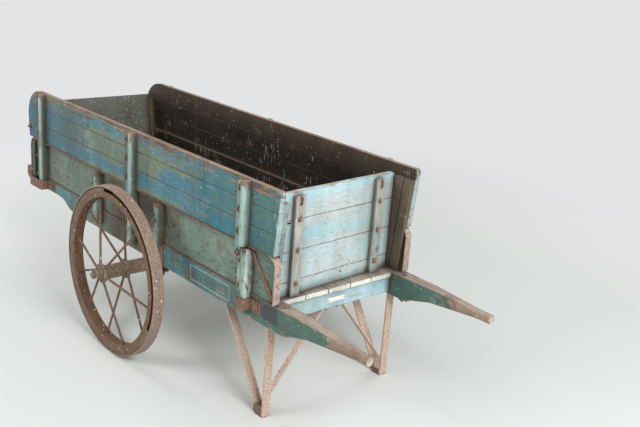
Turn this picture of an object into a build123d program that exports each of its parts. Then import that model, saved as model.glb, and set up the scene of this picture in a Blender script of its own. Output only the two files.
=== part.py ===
from build123d import *
import math
import os

# An old two-wheeled wooden hand cart: two long side beams that end in round handles, a planked
# bed with boarded sides on iron-shod stakes, lift-out boards at both ends, iron wheels on a
# square axle and two iron legs by the handles.
#
# Frame: X runs from the tail to the handles, Y from the left wheel to the right wheel, Z is up.
# The origin is on the floor below the middle of the overall box. Places along the cart are
# measured from the axle. Left pieces are modelled and mirrored to the right. Millimetres.

# ---- Wheels ----
wheel_radius = 400.0
track = 1144.0                  # between the middle planes of the two wheels
tyre_width = 52.0
tyre_thickness = 7.0
packing_thickness = 41.0        # from the tyre in to the bottom of the rim's channel
rim_base = 6.0
rim_lip_height = 26.0           # from the rim's inner face out to the top of its lips
rim_lip_thickness = 6.0
rim_width = 48.0
packing_shrink = 4.0            # gap under the tyre where the packing has dried out
packing_tight_arc = (188.0, 335.0)
packing_loose_arc = (98.0, 188.0)
spoke_count = 12
spoke_diameter = 11.0
first_spoke_angle = 49.0
hub_flange_radius = 46.0
hub_flange_thickness = 15.0
hub_barrel_radius = 33.0
hub_flange_spread = 120.0       # between the middles of the two hub flanges
hub_nose = 9.0                  # from the outer flange to the hub's outer end
hub_heel = 5.0                  # from the inner flange to the hub's inner end
hub_edge = 3.0

# ---- Axle ----
axle_square = 50.0
journal_diameter = 32.0
journal_clearance = 0.06        # radial running clearance in the hub
hub_end_play = 0.8              # at each end of the hub
collar_diameter = 62.0
collar_thickness = 12.0
stub_diameter = 24.0
axle_nut_width = 38.0
axle_nut_height = 17.0
axle_nut_clearance = 0.1
axle_nut_edge = 3.0
axle_nut_turn = 20.0            # degrees that the square nut stands turned
axle_washer_diameter = 54.0
axle_washer_thickness = 4.0
split_pin_diameter = 5.0
split_pin_length = 42.0
split_pin_clearance = 0.1
stub_beyond_nut = 13.0
cheek_length = 34.0             # hardwood cheeks that hold the axle fore and aft
clip_plate_thickness = 8.0
clip_plate_overhang = 6.0
clip_bolt_diameter = 12.0
clip_bolt_clearance = 0.3
clip_bolt_reach = 14.0          # bolt end below its nut

# ---- Beams ----
beams_outside = 760.0           # over the outer faces of the two beams
beam_thickness = 67.0
beam_depth = 105.0
beam_tail = 1334.0              # from the axle back to the beam's tail end
beam_tail_depth = 55.0
beam_ogee_start = 735.0         # where the underside starts to rise, behind the axle
beam_ogee_length = 250.0
beam_tail_slope = 40.0          # length of the slanted corner under the tail end
beam_tail_slant = 0.75          # its height as a share of its length
shaft_start = 985.0             # where the beam starts to thin towards the handle
shaft_middle = 1150.0
shaft_middle_width = 55.0
shaft_middle_depth = 63.0
grip_start = 1406.0
grip_length = 62.0
grip_diameter = 41.0
grip_drop = 26.0                # from the beam's top down to the grip's middle
grip_end_round = 6.0

# ---- Bed ----
deck_thickness = 22.0
deck_planks = 5
deck_plank_gap = 3.0
deck_front = 916.0
deck_tail_setback = 34.0        # from the beam's tail end forward to the floor's end
rail_depth = 75.0
rail_length = 60.0              # each cross rail's size along the cart
front_rail_setback = 10.0       # from the deck's front edge back to the front rail
mid_rail_places = (430.0, -560.0)
tail_rail_depth = 30.0
tail_rail_setback = 14.0

# ---- Sides ----
strip_thickness = 5.0           # iron strip on the beam, under the lower board
strip_overhang = 3.0            # how far the iron strips stand out past the wood they cover
lower_board_setback = 3.0       # lower board's outer face inside the beam's outer face
lower_board_thickness = 22.0
lower_board_height = 198.0
lower_board_overhang = 24.0     # past the front of the floor
lower_board_tail_setback = 51.0
lower_corner_radius = 45.0
tier_strip_thickness = 6.0      # iron strip between the lower board and the upper boards
upper_board_overlap = 10.0      # upper boards' outer face outside the beam's outer face
upper_board_thickness = 26.0
upper_board_count = 3
upper_board_height = 90.0
upper_board_gap = 1.0
upper_board_overhang = 16.0     # bottom corner past the front of the floor
upper_board_tail_setback = 44.0
end_rake = 5.4                  # degrees that the ends of the upper boards lean outwards
upper_tail_radius = 145.0
upper_front_radius = 14.0
board_edge = 1.5                # planed-off edge of every board

# ---- Stakes on the sides ----
rib_width = 38.0
rib_reach = 33.0                # from the upper boards' outer face to the rib's rounded front
lower_rib_width = 42.0
tail_rib_width = 28.0           # the lower stake at the tail is slighter
tail_rib_reach = 22.0
flange_thickness = 10.0
stake_top_drop = 4.0            # from the top of the side down to the stakes' tops
stake_top_edge = 6.0
front_stake_setback = 167.0      # from the floor's front back to the upper front stake
middle_stake = -138.0
tail_stake_setback = 235.0      # from the beam's tail end forward to the upper tail stake
upper_stake_flanges = {"front": 41.0, "middle": 54.0, "tail": 54.0}
front_rib_lift = 1.0            # from the upper front rib's foot up to the boards' seam
front_flange_drop = 51.0        # from that seam down to the foot of the same stake's flange
lower_front_stake_setback = 147.0
lower_stakes_by_wheel = {"axle_front": 98.0, "axle_rear": -477.0}
lower_tail_stake_setback = 129.0
lower_stake_flanges = {"front": 45.0, "axle_front": 57.0, "axle_rear": 57.0, "tail": 40.0}
lower_stake_drop = 5.0          # from the lower board's top down to the lower stakes' tops
lower_flange_drop = 57.0        # from there down to the tops of their flanges
stake_foot_rise = 40.0          # from the beam's underside up to the stakes' feet
tail_stake_foot_rise = 5.0      # the same at the thinner tail of the beam
short_stake_lift = 3.0          # from the lower board's foot up to the short stakes
stake_nut_inset = 22.0          # from a flange's edge in to its nuts
strap_width = 20.0              # iron straps on the beam below the short stakes
strap_thickness = 5.0

# ---- Iron shoes round the feet of the end stakes ----
shoe_height = 48.0
shoe_thickness = 5.0
shoe_ear = 72.0                 # the long ear, towards the handles
shoe_short_ear = 26.0
shoe_corner = 14.0
shoe_nut_inset = 24.0
end_board_bolt_height = 57.0    # from the seam up to the nut at the tail end of the boards
end_board_bolt_inset = 12.0
end_cap_thickness = 6.0
end_cap_rise = 24.0             # how far the cap stands up above the beam as a stop
end_cap_length = 50.0

# ---- Iron bands and stays on the lower boards ----
band_thickness = 6.0
band_width = 32.0
stay_width = 20.0
stay_thickness = 5.0

# ---- Legs ----
leg_setback = 24.0              # from the floor's front back to the middle of the upright bar
leg_spread = 297.0              # between the tops of the two bars of a leg
leg_bar_width = 40.0
leg_bar_thickness = 8.0
leg_front_pad = 118.0           # length of each bar that is bent flat under the beam
leg_rear_pad = 52.0
leg_bolt_inset = 6.0            # from the beam's middle in to the leg bolts
front_pad_bolt = 0.67            # the bolt's place along each pad, as a share of its length
rear_pad_bolt = 0.6
leg_bolt_head = 22.0
leg_bolt_head_height = 4.0
leg_bend_radius = 16.0
foot_height = 45.0
foot_length = 56.0              # behind the upright bar
foot_heel = 14.0                # slanted lower corner at the back of the foot
brace_width = 28.0
brace_thickness = 7.0
brace_pad = 46.0
brace_inner_end = 9.0           # from the cart's middle to the brace's inner end
brace_tab_rise = 55.0           # from the foot's top up to where the brace bends down
brace_tab = 66.0

# ---- End boards ----
end_board_play = 4.0            # between an end board's edges and the lower boards
end_board_lift = 0.5            # seat gap under an end board
front_board_setback = 50.0      # from the floor's front back to the middle of the front board
front_board_yaw = 3.8           # degrees that the front board stands askew in its grooves
front_board_thickness = 22.0
front_plank_heights = (62.0, 131.0, 135.0, 118.0)
front_batten_spacing = 482.0    # between the middles of the two battens
front_nut_rises = (54.0, 200.0, 333.0)
front_board_corner = 24.0       # rounded upper corner by the right side
tail_board_setback = 142.0      # from the beam's tail end forward to the board's inner foot
tail_board_lean = 10.0          # degrees that the tail board leans out at the top
tail_board_thickness = 22.0
tail_plank_heights = (134.0, 134.0, 134.0)
tail_batten_spacing = 440.0
tail_nut_rises = (67.0, 201.0, 335.0)
batten_width = 50.0
batten_thickness = 20.0
batten_end_gap = 16.0           # from a batten's top to the board's top
end_plank_gap = 0.6
hook_diameter = 6.0
hook_height = 32.0
hook_reach = 10.0

# ---- Cleats that guide the end boards ----
cleat_clearance = 2.0
cleat_reach = 15.0              # how far the cleats stand in from the lower boards
inner_cleat_width = 26.0
end_batten_width = 44.0
cleat_gap = 5.0
cleat_top_drop = 50.0           # from the top of the side down to the cleats' tops
tail_stop_width = 18.0

# ---- Fasteners ----
nut_width = 21.0
nut_height = 8.0
bolt_diameter = 11.0
bolt_reach = 6.0                # bolt end that stands out of the nut
board_nut_width = 17.0
board_nut_height = 6.0

# ---- Worked out from the above ----
deck_tail = beam_tail - deck_tail_setback
lower_board_front = deck_front + lower_board_overhang
lower_board_tail = beam_tail - lower_board_tail_setback
upper_front = deck_front + upper_board_overhang
upper_tail = beam_tail - upper_board_tail_setback
leg_front = deck_front - leg_setback
leg_rear_top = leg_front - leg_spread
front_board_place = deck_front - front_board_setback
tail_board_place = beam_tail - tail_board_setback

handle_end = grip_start + grip_length
cap_end = beam_tail + end_cap_thickness
axle_x = (cap_end - handle_end) / 2
axle_z = wheel_radius
beam_bottom = axle_z + axle_square / 2
beam_top = beam_bottom + beam_depth
beam_outer = beams_outside / 2
beam_inner = beam_outer - beam_thickness
beam_middle = (beam_outer + beam_inner) / 2
tail_bottom = beam_top - beam_tail_depth

lower_outer = beam_outer - lower_board_setback
lower_inner = lower_outer - lower_board_thickness
lower_bottom = beam_top + strip_thickness
lower_top = lower_bottom + lower_board_height
upper_outer = beam_outer + upper_board_overlap
upper_inner = upper_outer - upper_board_thickness
upper_bottom = lower_top + tier_strip_thickness
upper_pitch = upper_board_height + upper_board_gap
side_top = upper_bottom + upper_board_count * upper_pitch - upper_board_gap
rake = math.tan(math.radians(end_rake))

upper_stake_places = {
    "front": deck_front - front_stake_setback,
    "middle": middle_stake,
    "tail": tail_stake_setback - beam_tail,
}
lower_stake_places = {
    "front": deck_front - lower_front_stake_setback,
    **lower_stakes_by_wheel,
    "tail": lower_tail_stake_setback - beam_tail,
}
lower_stake_top = lower_top - lower_stake_drop
lower_flange_top = lower_top - lower_flange_drop
stake_foot = beam_bottom + stake_foot_rise
tail_stake_foot = tail_bottom + tail_stake_foot_rise
short_stake_foot = lower_bottom + short_stake_lift
front_stake_foot = lower_top - front_rib_lift
front_flange_foot = lower_top - front_flange_drop

rib_front = upper_outer + rib_reach
upper_flange_front = upper_outer + flange_thickness
lower_flange_front = beam_outer + flange_thickness
wheel_y = -track / 2
tyre_inner_radius = wheel_radius - tyre_thickness
rim_inner_radius = tyre_inner_radius - packing_thickness - rim_base
lip_radius = rim_inner_radius + rim_lip_height
board_half_width = lower_inner - end_board_play
board_bottom = beam_top + end_board_lift
front_board_height = sum(front_plank_heights)
tail_board_height = sum(tail_plank_heights)


# ---- Small makers ----
def block(x0, x1, y0, y1, z0, z1):
    """A plain block between two corners."""
    middle = Pos((x0 + x1) / 2, (y0 + y1) / 2, (z0 + z1) / 2)
    return middle * Box(abs(x1 - x0), abs(y1 - y0), abs(z1 - z0))


def plank(x0, x1, y0, y1, z0, z1, along=Axis.X):
    """A board with its long edges planed off."""
    body = block(x0, x1, y0, y1, z0, z1)
    return chamfer(body.edges().filter_by(along), board_edge)


def side_plate(face, y_inner, y_outer):
    """A face drawn in X and Z, made solid on the left side between two distances from the middle."""
    return extrude(Plane.XZ.offset(y_inner) * face, amount=y_outer - y_inner)


def bent_bar(points, radius, thickness):
    """The edge view of a flat bar bent on its flat, along a line of points."""
    if len(points) > 2:
        path = FilletPolyline(*points, radius=radius)
    else:
        path = Polyline(*points)
    return trace(path, line_width=thickness)


def nut(width=nut_width, height=nut_height, bolt=bolt_diameter, reach=bolt_reach):
    """A square nut seated at the origin with its bolt end above it, facing +Z."""
    body = chamfer(extrude(Rectangle(width, width), height).edges().group_by(Axis.Z)[-1], height / 5)
    end = Pos(0, 0, height + reach / 2) * Cylinder(bolt / 2, reach)
    return body + end


def facing_left(shape, x, y, z, spin=0.0):
    """Seat a shape that faces +Z on the left-hand outer face at distance y from the middle."""
    return Pos(x, -y, z) * Rot(90, 0, 0) * Rot(0, 0, spin) * shape


def solids_of(shapes):
    return [solid for shape in shapes for solid in shape.solids()]


def mirrored(shapes):
    return [mirror(solid, about=Plane.XZ) for solid in solids_of(shapes)]


def save(name, shapes):
    """Write one node, moved from the axle's frame to the cart's own."""
    solids = [Pos(axle_x, 0, 0) * solid for solid in solids_of(shapes)]
    node = solids[0] if len(solids) == 1 else Compound(solids)
    export_step(node, f"parts/{name}.step")


def save_both(name, shapes):
    """One node for pieces that are alike on both sides."""
    save(name, shapes + mirrored(shapes))


def save_pair(name, shapes):
    save("left_" + name, shapes)
    save("right_" + name, mirrored(shapes))


# ---- Wheel ----
def ring(points):
    """Turn an outline of (radius, offset along the axle) round the axle."""
    outline = make_face(Polyline(*points, close=True))
    return revolve(outline, Axis.Y)


def ring_arc(points, start, end):
    """The same, between two angles measured from the handles' side upwards."""
    outline = make_face(Polyline(*points, close=True))
    arc = revolve(outline, Axis((0, 0, 0), (0, -1, 0)), end - start)
    return Rot(0, -start, 0) * arc


def make_tyre():
    half = tyre_width / 2
    edge = tyre_thickness / 4
    return ring([
        (tyre_inner_radius, -half), (wheel_radius - edge, -half), (wheel_radius, edge - half),
        (wheel_radius, half - edge), (wheel_radius - edge, half), (tyre_inner_radius, half),
    ])


def make_rim():
    half = rim_width / 2
    base = rim_inner_radius + rim_base
    return ring([
        (rim_inner_radius, -half), (lip_radius, -half), (lip_radius, rim_lip_thickness - half),
        (base, rim_lip_thickness - half), (base, half - rim_lip_thickness),
        (lip_radius, half - rim_lip_thickness), (lip_radius, half), (rim_inner_radius, half),
    ])


def packing_arc(top, span):
    half = rim_width / 2
    channel = half - rim_lip_thickness
    outline = [
        (rim_inner_radius + rim_base, -channel), (lip_radius, -channel), (lip_radius, -half),
        (top, -half), (top, half), (lip_radius, half), (lip_radius, channel),
        (rim_inner_radius + rim_base, channel),
    ]
    return ring_arc(outline, *span)


def make_packing():
    return [
        packing_arc(tyre_inner_radius, packing_tight_arc),
        packing_arc(tyre_inner_radius - packing_shrink, packing_loose_arc),
    ]


def hub_ends():
    """Offsets of the hub's outer and inner ends from the wheel's middle plane."""
    outer = -(hub_flange_spread + hub_flange_thickness) / 2 - hub_nose
    inner = (hub_flange_spread + hub_flange_thickness) / 2 + hub_heel
    return outer, inner


def make_hub():
    outer, inner = hub_ends()
    bore = journal_diameter / 2 + journal_clearance
    barrel = hub_barrel_radius
    points = [(bore, outer), (barrel - hub_edge, outer), (barrel, outer + hub_edge)]
    for middle in (-hub_flange_spread / 2, hub_flange_spread / 2):
        low, high = middle - hub_flange_thickness / 2, middle + hub_flange_thickness / 2
        rise = (hub_flange_radius - barrel) / 4
        points += [
            (barrel, low - rise if middle > 0 else low), (hub_flange_radius - rise, low),
            (hub_flange_radius, low + rise), (hub_flange_radius, high - rise),
            (hub_flange_radius - rise, high), (barrel, high + rise if middle < 0 else high),
        ]
    points += [(barrel, inner), (bore, inner)]
    return ring(points)


def make_spokes():
    """Round rods, by turns from the outer and the inner hub flange to the middle of the rim."""
    space = ring([
        (hub_flange_radius, -hub_flange_spread), (rim_inner_radius, -hub_flange_spread),
        (rim_inner_radius, hub_flange_spread), (hub_flange_radius, hub_flange_spread),
    ])
    spokes = []
    for number in range(spoke_count):
        side = -1 if number % 2 == 0 else 1
        start = Vector(hub_flange_radius - spoke_diameter, side * hub_flange_spread / 2, 0)
        end = Vector(rim_inner_radius + spoke_diameter, side * spoke_diameter / 2, 0)
        axis = Plane(origin=start, z_dir=end - start)
        rod = extrude(axis * Circle(spoke_diameter / 2), (end - start).length)
        angle = first_spoke_angle + number * 360 / spoke_count
        spokes.append(Rot(0, -angle, 0) * (rod & space))
    return spokes


def write_wheels():
    place = Pos(0, wheel_y, axle_z)
    save_pair("tyre", [place * make_tyre()])
    save_pair("rim", [place * make_rim()])
    save_pair("packing", [place * piece for piece in make_packing()])
    save_pair("hub", [place * make_hub()])
    save_pair("spokes", [place * piece for piece in make_spokes()])


# ---- Axle ----
def axle_stations():
    """Distances from the middle to the collar, the journal, the stub and the axle's end."""
    outer, inner = hub_ends()
    journal = track / 2 - inner - hub_end_play
    stub = track / 2 - outer + hub_end_play
    end = stub + axle_washer_thickness + axle_nut_height + stub_beyond_nut
    return journal - collar_thickness, journal, stub, end


def pin_place():
    return axle_stations()[3] - stub_beyond_nut / 2


def along_axle(radius, y0, y1):
    return Pos(0, -(y0 + y1) / 2, axle_z) * Rot(90, 0, 0) * Cylinder(radius, y1 - y0)


def make_axle():
    collar, journal, stub, end = axle_stations()
    low, high = axle_z - axle_square / 2, axle_z + axle_square / 2
    bar = block(-axle_square / 2, axle_square / 2, -collar, collar, low, high)
    half = (along_axle(collar_diameter / 2, collar, journal)
            + along_axle(journal_diameter / 2, journal, stub)
            + along_axle(stub_diameter / 2, stub, end))
    hole = Cylinder(split_pin_diameter / 2 + split_pin_clearance, 2 * stub_diameter)
    half -= Pos(0, -pin_place(), axle_z) * hole
    return bar + half + mirror(half, about=Plane.XZ)


def make_axle_end():
    """Washer, square nut and split pin on one end of the axle."""
    stub = axle_stations()[2]
    hole = stub_diameter / 2 + axle_nut_clearance
    opening = along_axle(hole, stub - 1, stub + 2 * axle_nut_height)
    washer = along_axle(axle_washer_diameter / 2, stub, stub + axle_washer_thickness) - opening
    blank = extrude(Rectangle(axle_nut_width, axle_nut_width), axle_nut_height)
    blank = chamfer(blank.edges().group_by(Axis.Z)[-1], axle_nut_edge)
    turned = facing_left(blank, 0, stub + axle_washer_thickness, axle_z, spin=axle_nut_turn)
    pin = Pos(0, -pin_place(), axle_z) * Cylinder(split_pin_diameter / 2, split_pin_length)
    return [washer], [turned - opening], [pin]


def make_axle_cheeks():
    """Hardwood cheeks under one beam, fore and aft of the axle, with their clip bolts drilled."""
    cheeks = []
    for side in (-1, 1):
        near, far = side * axle_square / 2, side * (axle_square / 2 + cheek_length)
        cheek = block(near, far, -beam_outer, -beam_inner, axle_z - axle_square / 2, beam_bottom)
        cheeks.append(cheek - clip_bolt_holes())
    return cheeks


def clip_bolt_places():
    reach = axle_square / 2 + cheek_length / 2
    inset = beam_thickness / 4
    return [(x, -y) for x in (-reach, reach) for y in (beam_middle - inset, beam_middle + inset)]


def clip_bolt_holes():
    hole = Cylinder(clip_bolt_diameter / 2 + clip_bolt_clearance, 4 * axle_square)
    return Compound([Pos(x, y, axle_z) * hole for x, y in clip_bolt_places()])


def make_axle_clips():
    """The iron plate under the axle and the four bolts that draw it up."""
    reach = axle_square / 2 + cheek_length + clip_plate_overhang
    top = axle_z - axle_square / 2
    plate = block(-reach, reach, -beam_outer, -beam_inner, top - clip_plate_thickness, top)
    bolts = []
    for x, y in clip_bolt_places():
        shank = Pos(x, y, (beam_bottom + top - clip_plate_thickness) / 2)
        shank *= Cylinder(clip_bolt_diameter / 2, axle_square + clip_plate_thickness)
        upside_down = Pos(x, y, top - clip_plate_thickness) * Rot(180, 0, 0)
        head = upside_down * nut(bolt=clip_bolt_diameter, reach=clip_bolt_reach)
        bolts.append(shank + head)
    return [plate - clip_bolt_holes()], bolts


def write_axle():
    save("axle", [make_axle()])
    washer, axle_nut, pin = make_axle_end()
    save_both("axle_nuts", washer + axle_nut)
    save_both("split_pins", pin)
    save_both("axle_cheeks", make_axle_cheeks())
    plate, bolts = make_axle_clips()
    save_both("axle_clip_plates", plate)
    save_both("axle_clip_bolts", bolts)


# ---- Beams ----
def beam_outline():
    """The beam's side view, from the tail to where the shaft begins."""
    tail = -beam_tail
    ogee_end = -(beam_ogee_start + beam_ogee_length)
    ogee_middle = (ogee_end - beam_ogee_start) / 2
    half_rise = (tail_bottom + beam_bottom) / 2
    corner = (tail, tail_bottom + beam_tail_slope * beam_tail_slant)
    edges = Polyline((shaft_start, beam_bottom), (shaft_start, beam_top), (tail, beam_top), corner,
                     (tail + beam_tail_slope, tail_bottom), (ogee_end, tail_bottom))
    ogee = Line((-beam_ogee_start, beam_bottom), (shaft_start, beam_bottom))
    rise = Bezier((ogee_end, tail_bottom), (ogee_middle, tail_bottom), (ogee_middle, half_rise),
                  (ogee_middle, beam_bottom), (-beam_ogee_start, beam_bottom))
    return make_face([edges, rise, ogee])


def squared_section(x, z, width, depth):
    plane = Plane(origin=(x, -beam_middle, z), x_dir=(0, 1, 0), z_dir=(1, 0, 0))
    return plane * Rectangle(width, depth)


def round_section(x, z, diameter):
    """A circle of four arcs, one for each side of the squared sections."""
    plane = Plane(origin=(x, -beam_middle, z), x_dir=(0, 1, 0), z_dir=(1, 0, 0))
    radius = diameter / 2
    corner = radius / math.sqrt(2)
    corners = [(-corner, -corner), (corner, -corner), (corner, corner), (-corner, corner)]
    middles = [(0, -radius), (radius, 0), (0, radius), (-radius, 0)]
    arcs = [ThreePointArc(corners[i], middles[i], corners[(i + 1) % 4]) for i in range(4)]
    return plane * make_face(arcs)


def make_beam():
    body = side_plate(beam_outline(), beam_inner, beam_outer)
    grip_z = beam_top - grip_drop
    middle_z = beam_top - shaft_middle_depth / 2
    shaft = loft([
        squared_section(shaft_start, (beam_top + beam_bottom) / 2, beam_thickness, beam_depth),
        squared_section(shaft_middle, middle_z, shaft_middle_width, shaft_middle_depth),
        round_section(grip_start, grip_z, grip_diameter),
    ], ruled=True)
    grip = extrude(round_section(grip_start, grip_z, grip_diameter), grip_length)
    grip = fillet(grip.edges().group_by(Axis.X)[-1], grip_end_round)
    return body + shaft + grip


def write_beams():
    save_pair("beam", [make_beam()])


# ---- Bed ----
def deck_plank_edges():
    width = (2 * beam_inner - (deck_planks - 1) * deck_plank_gap) / deck_planks
    for number in range(deck_planks):
        low = number * (width + deck_plank_gap) - beam_inner
        yield low, low + width


def make_deck():
    bottom = beam_top - deck_thickness
    return [plank(-deck_tail, deck_front, low, high, bottom, beam_top) for low, high in deck_plank_edges()]


def cross_rail(x0, x1, depth):
    top = beam_top - deck_thickness
    return plank(x0, x1, -beam_inner, beam_inner, top - depth, top, along=Axis.Y)


def front_rail_span():
    front = deck_front - front_rail_setback
    return front - rail_length, front


def write_bed():
    save("deck_planks", make_deck())
    save("front_rail", [cross_rail(*front_rail_span(), rail_depth)])
    half = rail_length / 2
    save("mid_rails", [cross_rail(x - half, x + half, rail_depth) for x in mid_rail_places])
    tail = tail_rail_setback - deck_tail
    save("tail_rail", [cross_rail(tail, tail + rail_length, tail_rail_depth)])


# ---- Sides ----
def upper_outline():
    """The upper boards' side view: raked ends, a large round at the tail and a small one in front."""
    rise = side_top - upper_bottom
    corners = Polyline((upper_front, upper_bottom), (upper_front + rise * rake, side_top),
                       (-upper_tail - rise * rake, side_top), (-upper_tail, upper_bottom), close=True)
    face = make_face(corners)
    face = fillet(face.vertices().sort_by(Axis.Y)[-2:].sort_by(Axis.X)[0], upper_tail_radius)
    return fillet(face.vertices().sort_by(Axis.Y)[-2:].sort_by(Axis.X)[-1], upper_front_radius)


def make_upper_boards():
    outline = side_plate(upper_outline(), upper_inner, upper_outer)
    reach = 2 * (upper_front + upper_tail)
    boards = []
    for number in range(upper_board_count):
        low = upper_bottom + number * upper_pitch
        strip = plank(-reach, reach, -upper_outer, -upper_inner, low, low + upper_board_height)
        boards.append(outline & strip)
    return boards


def make_lower_board():
    corners = Polyline((-lower_board_tail, lower_bottom), (lower_board_front, lower_bottom),
                       (lower_board_front, lower_top), (-lower_board_tail, lower_top), close=True)
    face = make_face(corners)
    face = fillet(face.vertices().sort_by(Axis.Y)[-2:], lower_corner_radius)
    return side_plate(face, lower_inner, lower_outer)


def make_strips():
    """Iron strips along the beam and between the two tiers of boards."""
    beam_strip = block(-lower_board_tail, lower_board_front, -beam_outer - strip_overhang, -lower_inner,
                       beam_top, lower_bottom)
    tier_strip = block(lower_corner_radius - lower_board_tail, lower_board_front - lower_corner_radius,
                       -upper_outer - strip_overhang, -lower_inner, lower_top, upper_bottom)
    return [beam_strip, tier_strip]


def side_section():
    """The space in one side's cross-section that its beam, boards and strips take up."""
    reach = 2 * handle_end
    pieces = [
        (beam_outer, beam_inner, beam_bottom, beam_top),
        (beam_outer + strip_overhang, lower_inner, beam_top, lower_bottom),
        (lower_outer, lower_inner, lower_bottom, lower_top),
        (upper_outer + strip_overhang, lower_inner, lower_top, upper_bottom),
        (upper_outer, upper_inner, upper_bottom, side_top),
    ]
    solid = block(-reach, reach, -pieces[0][0], -pieces[0][1], pieces[0][2], pieces[0][3])
    for outer, inner, low, high in pieces[1:]:
        solid += block(-reach, reach, -outer, -inner, low, high)
    return solid


def write_sides():
    save_pair("upper_boards", make_upper_boards())
    save_pair("lower_board", [make_lower_board()])
    save_pair("edge_strips", make_strips())


# ---- Stakes ----
def rib_plan(x, width, back, front):
    """A rib seen from above: straight sides and a rounded front."""
    radius = width / 2
    plan = Pos(x, -(back + front - radius) / 2) * Rectangle(width, front - radius - back)
    return plan + Pos(x, radius - front) * Circle(radius)


def stake(x, width, front, rib_span, flange_width, flange_span, flange_front):
    """A stake with a round-fronted rib and a flat flange on its tail side, fitted over the side."""
    radius = width / 2
    foot = Plane.XY.offset(rib_span[0])
    rib = extrude(foot * rib_plan(x, width, lower_outer, front), rib_span[1] - rib_span[0])
    rib = chamfer(rib.edges().group_by(Axis.Z)[-1], stake_top_edge)
    flange_start = x - radius - flange_width
    flange_end = x - radius + board_edge
    flange = block(flange_start, flange_end, -flange_front, -lower_outer, *flange_span)
    return (rib + flange) - side_section()


def foot_of(name):
    """Where a stake's rib ends below, by its place on the side."""
    if name == "tail":
        return tail_stake_foot
    return short_stake_foot if name == "axle_front" else stake_foot


def lower_rib(name):
    """Width and front of a lower stake's rib."""
    if name == "tail":
        return tail_rib_width, upper_outer + tail_rib_reach
    return lower_rib_width, rib_front


def upper_stakes():
    top = side_top - stake_top_drop
    stakes = []
    for name, x in upper_stake_places.items():
        rib_foot = front_stake_foot if name == "front" else foot_of(name)
        flange_foot = front_flange_foot if name == "front" else lower_bottom
        stakes.append(stake(x, rib_width, rib_front, (rib_foot, top), upper_stake_flanges[name],
                            (flange_foot, top), upper_flange_front))
    return stakes


def lower_stakes():
    stakes = []
    for name, x in lower_stake_places.items():
        width, front = lower_rib(name)
        post = stake(x, width, front, (foot_of(name), lower_stake_top), lower_stake_flanges[name],
                     (lower_bottom, lower_flange_top), lower_flange_front)
        stakes.append(post - make_stay() if name == "front" else post)
    return stakes


def stake_nuts():
    """Square nuts down the flanges: one to each upper board, and two to the lower board."""
    nuts = []
    upper_rows = [upper_bottom + upper_pitch * (row + 0.5) for row in range(upper_board_count)]
    lower_rows = [lower_bottom + lower_board_height * share for share in (0.09, 0.63)]
    for name, x in upper_stake_places.items():
        rows = upper_rows + ([front_flange_foot + nut_width / 2] if name == "front" else lower_rows)
        place = x - rib_width / 2 - upper_stake_flanges[name] + stake_nut_inset
        nuts += [facing_left(nut(), place, upper_flange_front, z, spin=z) for z in rows]
    for name, x in lower_stake_places.items():
        place = x - lower_rib(name)[0] / 2 - lower_stake_flanges[name] + stake_nut_inset
        nuts += [facing_left(nut(), place, lower_flange_front, z, spin=z) for z in lower_rows]
    return nuts + shoe_nuts()


def shoe_nuts():
    """Nuts on the long ears of the shoes, and one at the tail end of the upper boards."""
    face = beam_outer + shoe_thickness
    reach = lower_rib_width / 2 + shoe_ear - shoe_nut_inset
    places = [(lower_stake_places["front"] + reach, face, stake_foot + shoe_height / 2),
              (upper_stake_places["tail"] + reach, face, tail_stake_foot + shoe_height / 2),
              (end_board_bolt_inset - upper_tail, upper_outer, upper_bottom + end_board_bolt_height)]
    return [facing_left(nut(), x, y, z, spin=x) for x, y, z in places]


def make_strap():
    """A flat iron strap down the beam's face, from the foot of the short stake."""
    end = lower_stake_places["axle_front"] + lower_rib_width / 2
    return block(end - strap_width, end, -beam_outer - strap_thickness, -beam_outer, beam_bottom, beam_top)


def write_stakes():
    save_pair("upper_stakes", upper_stakes())
    save_pair("lower_stakes", lower_stakes())
    save_both("stake_nuts", stake_nuts())
    save_both("beam_straps", [make_strap()])


# ---- Shoes ----
def shoe_plan(x0, x1, front):
    """The space inside a shoe seen from above, rounded in front."""
    plan = Pos((x0 + x1) / 2, -(front + beam_outer) / 2) * Rectangle(x1 - x0, front - beam_outer)
    return fillet(plan.vertices().group_by(Axis.Y)[0], shoe_corner)


def make_shoe(x0, x1, foot):
    """A strap round the feet of one stake or two, with ears that lie on the beam."""
    inner = shoe_plan(x0, x1, rib_front)
    outer = shoe_plan(x0 - shoe_thickness, x1 + shoe_thickness, rib_front + shoe_thickness)
    wrap = extrude(Plane.XY.offset(foot) * (outer - inner), shoe_height)
    ears = block(x0 - shoe_short_ear, x1 + shoe_ear, -beam_outer - shoe_thickness, -beam_outer,
                 foot, foot + shoe_height)
    hollow = extrude(Plane.XY.offset(foot) * inner, shoe_height)
    return (wrap + ears) - hollow - side_section()


def make_end_cap():
    """The iron cap over the beam's tail, which stands up above the beam as a stop."""
    top = beam_top + end_cap_rise
    start = -beam_tail - end_cap_thickness
    slant_top = tail_bottom + beam_tail_slope * beam_tail_slant
    skin_face = -beam_outer - end_cap_thickness
    skin = block(start, start + end_cap_length, skin_face, -beam_outer, tail_bottom, top)
    end = block(start, -beam_tail, -beam_outer, -beam_inner, slant_top, top)
    slant = make_face(Polyline((start, tail_bottom), (start + beam_tail_slope, tail_bottom),
                               (start, slant_top), close=True))
    return (skin + end) - side_plate(slant, beam_outer, beam_outer + end_cap_thickness)


def write_shoes():
    front = lower_stake_places["front"]
    half = lower_rib_width / 2
    tail_start = lower_stake_places["tail"] - tail_rib_width / 2
    tail_end = upper_stake_places["tail"] + rib_width / 2
    save_pair("shoes", [make_shoe(front - half, front + half, stake_foot),
                        make_shoe(tail_start, tail_end, tail_stake_foot)])
    save_pair("end_cap", [make_end_cap()])


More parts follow.
